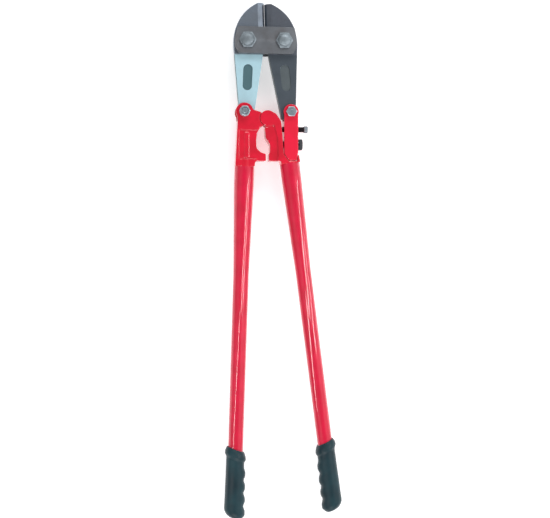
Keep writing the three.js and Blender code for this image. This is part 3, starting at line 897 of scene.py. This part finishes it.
@dataclass
class Castings:
    """The two painted castings and the adjuster arm, with the soft edges that sand casting leaves."""

    bench: Bench
    paint: Material
    arm_paint: Material
    voxel: float = 0.75 * MM
    rounds: int = 7

    def soften(self, node: str) -> Mesh:
        """A frame node's mesh with every edge rounded."""

        def change(holder: bpy.types.Object) -> None:
            """Remeshes the holder finely and smooths it."""
            remesh = holder.modifiers.new("remesh", "REMESH")
            remesh.mode = "VOXEL"
            remesh.voxel_size = self.voxel
            remesh.use_smooth_shade = True
            smooth = holder.modifiers.new("smooth", "SMOOTH")
            smooth.iterations = self.rounds
            smooth.factor = 0.5

        return settled(self.bench.frame["nodes"][node].data, change)

    def build(self) -> None:
        """Makes the three castings."""
        for name, node, body, paint in (
            ("left_casting", "left_yoke", "left_handle", self.paint),
            ("right_casting", "right_yoke", "right_handle", self.paint),
            ("rocker_arm", "adjuster_arm", "adjuster", self.arm_paint),
        ):
            self.bench.fit(name, self.soften(node), paint, body, "red_paint", [node])


@dataclass
class HeadForgings:
    """The blades and the link plates: machined faces with small broken edges."""

    bench: Bench
    blades: dict[Side, Material]
    plate_steel: Material
    blade_edge: float = 0.5 * MM
    plate_edge: float = 0.9 * MM
    weld: float = 1e-6
    coplanar: float = 0.4
    sharp: float = 28.0
    segments: int = 3
    flat_area: float = 12.0 * MM**2
    least_rise: float = 0.05
    level: float = 0.999

    def break_edges(self, node: str, width: float) -> Mesh:
        """Bevels the sharp edges of a forging.

        Args:
            node: the frame node to start from.
            width: width of the broken edge.

        Returns:
            The bevelled mesh.
        """
        source = bmesh.new()
        source.from_mesh(self.bench.frame["nodes"][node].data)
        bmesh.ops.remove_doubles(source, verts=source.verts, dist=self.weld)
        bmesh.ops.dissolve_limit(
            source, angle_limit=math.radians(self.coplanar), verts=source.verts, edges=source.edges,
            use_dissolve_boundaries=False,
        )
        flat = bpy.data.meshes.new(node)
        source.to_mesh(flat)
        source.free()

        def change(holder: bpy.types.Object) -> None:
            """Bevels the holder's sharp edges."""
            bevel = holder.modifiers.new("bevel", "BEVEL")
            bevel.width = width
            bevel.segments = self.segments
            bevel.limit_method = "ANGLE"
            bevel.angle_limit = math.radians(self.sharp)
            bevel.harden_normals = True
            bevel.loop_slide = False

        for face in flat.polygons:
            face.use_smooth = True
        mesh = settled(flat, change)
        normals = [corner.vector.copy() for corner in mesh.corner_normals]
        for face in mesh.polygons:
            rise = abs(face.normal.z)
            if rise > self.level or (face.area > self.flat_area and rise > self.least_rise):
                for corner in face.loop_indices:
                    normals[corner] = face.normal.copy()
        mesh.normals_split_custom_set(normals)
        return mesh

    def build(self) -> None:
        """Makes both blades and both link plates."""
        for side in Side:
            node = f"{side.word}_blade"
            mesh = self.break_edges(node, self.blade_edge)
            self.bench.fit(f"{side.word}_forging", mesh, self.blades[side], node, "blade_steel", [node])
        for word in ("front", "rear"):
            node = f"{word}_link_plate"
            mesh = self.break_edges(node, self.plate_edge)
            self.bench.fit(f"{word}_plate", mesh, self.plate_steel, "head", "plate_steel", [node])


@dataclass
class Handle:
    """One tube and its grip, made down the tube's own axis."""

    bench: Bench
    side: Side
    paint: Material
    vinyl: Material
    socket_radius: float = 17.5 * MM
    tube_radius: float = 13.7 * MM
    end_radius: float = 13.0 * MM
    wall: float = 2.5 * MM
    overlap: float = 1.4 * MM
    taper_start: float = 30.0 * MM
    taper_length: float = 160.0 * MM
    handle_length: float = 621.0 * MM
    grip_length: float = 123.0 * MM
    grip_radius: float = 16.0 * MM
    grip_swell: float = 1.6 * MM
    collar_rim: float = 14.9 * MM
    collar_radius: float = 18.7 * MM
    collar_ridge: float = 12.0 * MM
    collar_length: float = 20.0 * MM
    slant: float = 0.34
    rests: int = 4
    rest_pitch: float = 22.8 * MM
    first_rest: float = 38.0 * MM
    rest_rise: float = 2.6 * MM
    tip: float = 14.0 * MM
    tube_in_grip: float = 99.0 * MM
    tube_rings: int = 14
    grip_rings: int = 130
    tip_rings: int = 16
    around: int = 96

    def frame_matrix(self) -> Matrix:
        """The placing whose -Y runs down the tube and whose +X faces the other handle."""
        points = self.bench.node_points(f"{self.side.word}_tube")
        centre = points.mean(axis=0)
        axis = np.linalg.svd(points - centre, full_matrices=False)[2][0]
        axis = axis if axis[1] > 0 else -axis
        along = (points - centre) @ axis
        root = Vector(centre + axis * (along.max() + 0.3 * MM))
        upward = Vector(axis)
        outward = Vector((0.0, 0.0, 1.0))
        inward = upward.cross(outward) * -self.side.value
        rows = Matrix((inward, upward, outward)).transposed().to_4x4()
        return Matrix.Translation(root) @ rows

    def tube(self) -> Mesh:
        """The tapered tube, open at both ends."""
        end = self.handle_length - self.grip_length + self.tube_in_grip
        straight = self.taper_start + self.taper_length
        rim = 0.6 * MM
        start = -self.overlap

        def radius_at(along: float) -> float:
            """The tube's outer radius at a distance down from its top."""
            if along >= straight:
                narrowing = self.end_radius - self.tube_radius
                return self.tube_radius + narrowing * (along - straight) / (end - straight)
            share = min(1.0, max(0.0, (along - self.taper_start) / self.taper_length))
            return self.socket_radius + (self.tube_radius - self.socket_radius) * share

        taper = np.linspace(self.taper_start, straight, self.tube_rings)
        stations = [start + rim, *taper, *np.linspace(straight, end, self.tube_rings)[1:]]
        outer = [(self.socket_radius - rim, start), (self.socket_radius - 0.2 * rim, start + 0.3 * rim)]
        outer += [(radius_at(along), along) for along in stations]
        inner = [(radius - self.wall, along) for radius, along in reversed(outer[2:])]
        inner.append((self.socket_radius - self.wall, start))
        rings = [self.ring(radius, along) for radius, along in outer + inner]
        return crisp(mesh_from_rings("tube", rings, loop=True), 50.0)

    def ring(self, radius: float, along: float) -> np.ndarray:
        """A circle round the handle's axis at a distance down from its top."""
        flat = circle(radius, 0.0, self.around)
        return np.column_stack((flat[:, 0], np.full(self.around, -along), flat[:, 1]))

    def grip_ring(self, radius: float, along: float, rise: float = 0.0) -> np.ndarray:
        """A slanted ring of the grip, swollen on the fingers' side.

        Args:
            radius: its plain radius.
            along: distance below the grip's rim.
            rise: how far a finger rest stands out here.

        Returns:
            The ring's points in the handle's frame.
        """
        angles = full_circle(self.around)
        facing = np.maximum(0.0, np.cos(angles)) ** 1.5
        x = (radius + rise * facing) * np.cos(angles)
        top = self.handle_length - self.grip_length
        return np.column_stack((x, -top - along - self.slant * x, radius * np.sin(angles)))

    def finger_rise(self, along: float) -> float:
        """How far the finger rests stand out at a distance below the rim."""
        last = self.first_rest + (self.rests - 1) * self.rest_pitch
        if along < self.first_rest - self.rest_pitch / 2.0 or along > last + self.rest_pitch / 2.0:
            return 0.0
        wave = math.cos(math.pi * (along - self.first_rest) / self.rest_pitch) ** 2
        return self.rest_rise * (1.0 - (1.0 - wave) ** 1.6)

    def collar(self, along: float) -> float:
        """The collar's radius below its rim: a cone up to a rounded ridge, then a short fall."""
        if along <= self.collar_ridge:
            rise = math.sin(along / self.collar_ridge * math.pi / 2.0) ** 0.9
            return self.collar_rim + (self.collar_radius - self.collar_rim) * rise
        share = min(1.0, (along - self.collar_ridge) / (self.collar_length - self.collar_ridge))
        fall = self.collar_radius - self.grip_radius
        return self.grip_radius + fall * (0.5 + 0.5 * math.cos(share * math.pi))

    def grip(self) -> Mesh:
        """The dipped grip: a collar, finger rests and a rounded end."""
        bore = self.end_radius + 0.6 * MM
        lip = 0.5 * MM
        depths = [self.tube_in_grip, *np.linspace(0.8 * self.tube_in_grip, 1.2 * MM, 6)]
        rings = [self.grip_ring(0.3 * bore, self.tube_in_grip + 1.0 * MM)]
        rings += [self.grip_ring(bore, along) for along in depths]
        rings.append(self.grip_ring(bore + 0.3 * lip, 0.2 * lip))
        rings.append(self.grip_ring(bore + lip, 0.0))
        rings.append(self.grip_ring(self.collar_rim - 0.5 * lip, 0.0))
        for along in np.linspace(lip, self.collar_length, 26):
            rings.append(self.grip_ring(self.collar(along), along))
        body_end = self.grip_length - self.tip
        for along in np.linspace(self.collar_length, body_end, self.grip_rings)[1:]:
            rings.append(self.grip_ring(self.body(along), along, self.finger_rise(along)))
        for i in range(1, self.tip_rings + 1):
            angle = i / self.tip_rings * math.radians(84.0)
            along = body_end + self.tip * math.sin(angle)
            narrowing = math.cos(angle) ** 0.7
            rise = self.finger_rise(along) * narrowing
            rings.append(self.grip_ring(self.body(along) * narrowing, along, rise))
        return crisp(mesh_from_rings("grip", rings), 60.0)

    def body(self, along: float) -> float:
        """The grip's plain radius at a distance below its rim."""
        return self.grip_radius + self.grip_swell * (along / self.grip_length) ** 2

    def build(self) -> None:
        """Makes the tube and the grip and fits both to this side's handle."""
        place = self.frame_matrix()
        word = self.side.word
        body = f"{word}_handle"
        tube = placed(self.tube(), place)
        self.bench.fit(f"{word}_handle_tube", tube, self.paint, body, "red_paint", [f"{word}_tube"])
        grip = placed(self.grip(), place)
        self.bench.fit(f"{word}_hand_grip", grip, self.vinyl, body, "grip_vinyl", [f"{word}_grip"])


@dataclass
class Studio:
    """A pale floor, soft light from above and a camera that looks down on the tool."""

    floor_size: float = 60.0
    distance: float = 2.21
    offset_left: float = 0.235
    target: tuple[float, float, float] = (-0.0154, 0.0041, 0.045)
    view_angle: float = 24.8
    glow: float = 0.8
    floor_glow: float = 0.45

    def floor(self) -> None:
        """A plain matt floor under the tool."""
        graph = Graph("floor")
        tone = graph.mix(graph.noise(3.0), (0.84, 0.84, 0.84), (0.87, 0.87, 0.87))
        graph.link(tone, graph.shader.inputs["Base Color"])
        graph.fixed(Roughness=0.9, Emission_Color=(1.0, 1.0, 1.0, 1.0), Emission_Strength=self.floor_glow)
        half = self.floor_size / 2.0
        corners = [(-half, -half, 0.0), (half, -half, 0.0), (half, half, 0.0), (-half, half, 0.0)]
        mesh = bpy.data.meshes.new("floor")
        mesh.from_pydata(corners, [], [(0, 1, 2, 3)])
        mesh.materials.append(graph.material)
        floor = bpy.data.objects.new("floor", mesh)
        floor.location.z = -0.001
        bpy.context.scene.collection.objects.link(floor)

    def lamp(self, name: str, place: Sequence[float], size: Sequence[float], power: float,
             turn: float | None = None) -> None:
        """Adds a soft rectangular light.

        Args:
            name: the light's name.
            place: where it hangs.
            size: its width and length.
            power: watts.
            turn: angle about Z for a light that hangs level; left out, the light faces the tool.
        """
        data = bpy.data.lights.new(name, "AREA")
        data.shape = "RECTANGLE"
        data.size, data.size_y = size
        data.energy = power
        lamp = bpy.data.objects.new(name, data)
        lamp.location = place
        aim = Vector((0.0, 0.0, 0.0)) - Vector(place)
        lamp.rotation_euler = aim.to_track_quat("-Z", "Y").to_euler() if turn is None else (0.0, 0.0, turn)
        bpy.context.scene.collection.objects.link(lamp)

    def surround(self) -> None:
        """A bright surround with a dim patch overhead, which keeps upward faces deep in colour."""
        world = bpy.data.worlds.new("surround")
        bpy.context.scene.world = world
        world.use_nodes = True
        nodes, links = world.node_tree.nodes, world.node_tree.links
        nodes.clear()
        where = nodes.new("ShaderNodeTexCoord")
        split = nodes.new("ShaderNodeSeparateXYZ")
        ramp = nodes.new("ShaderNodeValToRGB")
        glow = nodes.new("ShaderNodeBackground")
        output = nodes.new("ShaderNodeOutputWorld")
        steps = ramp.color_ramp.elements
        steps[0].color = (0.80, 0.82, 0.85, 1.0)
        steps[1].position = 0.95
        steps[1].color = (0.24, 0.25, 0.27, 1.0)
        middle = steps.new(0.74)
        middle.color = (0.98, 0.99, 1.0, 1.0)
        links.new(where.outputs["Generated"], split.inputs["Vector"])
        links.new(split.outputs["Z"], ramp.inputs["Fac"])
        links.new(ramp.outputs["Color"], glow.inputs["Color"])
        across = nodes.new("ShaderNodeMapRange")
        across.inputs["From Min"].default_value = -1.0
        across.inputs["To Min"].default_value = 0.6 * self.glow
        across.inputs["To Max"].default_value = 1.2 * self.glow
        links.new(split.outputs["X"], across.inputs["Value"])
        links.new(across.outputs["Result"], glow.inputs["Strength"])
        links.new(glow.outputs["Background"], output.inputs["Surface"])

    def camera(self) -> None:
        """The camera over the middle of the tool, a little to the left."""
        data = bpy.data.cameras.new("camera")
        data.sensor_fit = "HORIZONTAL"
        data.angle = math.radians(self.view_angle)
        camera = bpy.data.objects.new("camera", data)
        target = Vector(self.target)
        place = target + Vector((-self.offset_left, 0.0, math.sqrt(self.distance**2 - self.offset_left**2)))
        camera.location = place
        backward = (place - target).normalized()
        right = Vector((0.0, 1.0, 0.0)).cross(backward).normalized()
        upward = backward.cross(right)
        camera.rotation_euler = Matrix((right, upward, backward)).transposed().to_euler()
        bpy.context.scene.collection.objects.link(camera)
        bpy.context.scene.camera = camera

    def build(self) -> None:
        """Sets up the floor, the lights, the surround and the camera."""
        self.camera()
        self.floor()
        self.surround()
        self.lamp("far_box", (0.3, 2.4, 1.7), (1.8, 1.0), 24.0)
        self.lamp("near_box", (-0.2, -2.4, 1.7), (1.8, 1.0), 24.0)
        self.lamp("right_tube_lamp", (2.45, 0.11, 1.5), (2.9, 0.045), 12.0, math.radians(12.0))
        self.lamp("middle_tube_lamp", (1.4, 0.19, 1.5), (2.4, 0.045), 9.0, math.radians(17.0))
        self.lamp("left_tube_lamp", (-1.65, -0.67, 1.5), (3.1, 0.045), 10.5, math.radians(19.0))
        scene = bpy.context.scene
        scene.view_settings.view_transform = "Standard"
        scene.view_settings.look = "None"


def main() -> None:
    """Builds the whole tool around the frame."""
    logging.basicConfig(level=logging.INFO, format="%(name)s: %(message)s")
    Studio().build()
    finishes = Finishes()
    bench = Bench(frame)
    blades = {Side.LEFT: finishes.left_blade, Side.RIGHT: finishes.right_blade}
    HeadForgings(bench, blades, finishes.plate_steel).build()
    BladeBolts(bench, finishes.bolt_steel).build()
    TailBolts(bench, finishes.zinc).build()
    Castings(bench, finishes.casting_paint, finishes.arm_paint).build()
    CrossScrews(bench, finishes.oxide, finishes.bolt_steel).build()
    for side in Side:
        Handle(bench, side, finishes.tube_paint, finishes.vinyl).build()
    frame["nodes"]["centre_pin"].data.materials[0] = finishes.zinc
    LOG.info("%d pieces fitted", bench.count)


if __name__ == "__main__":
    main()
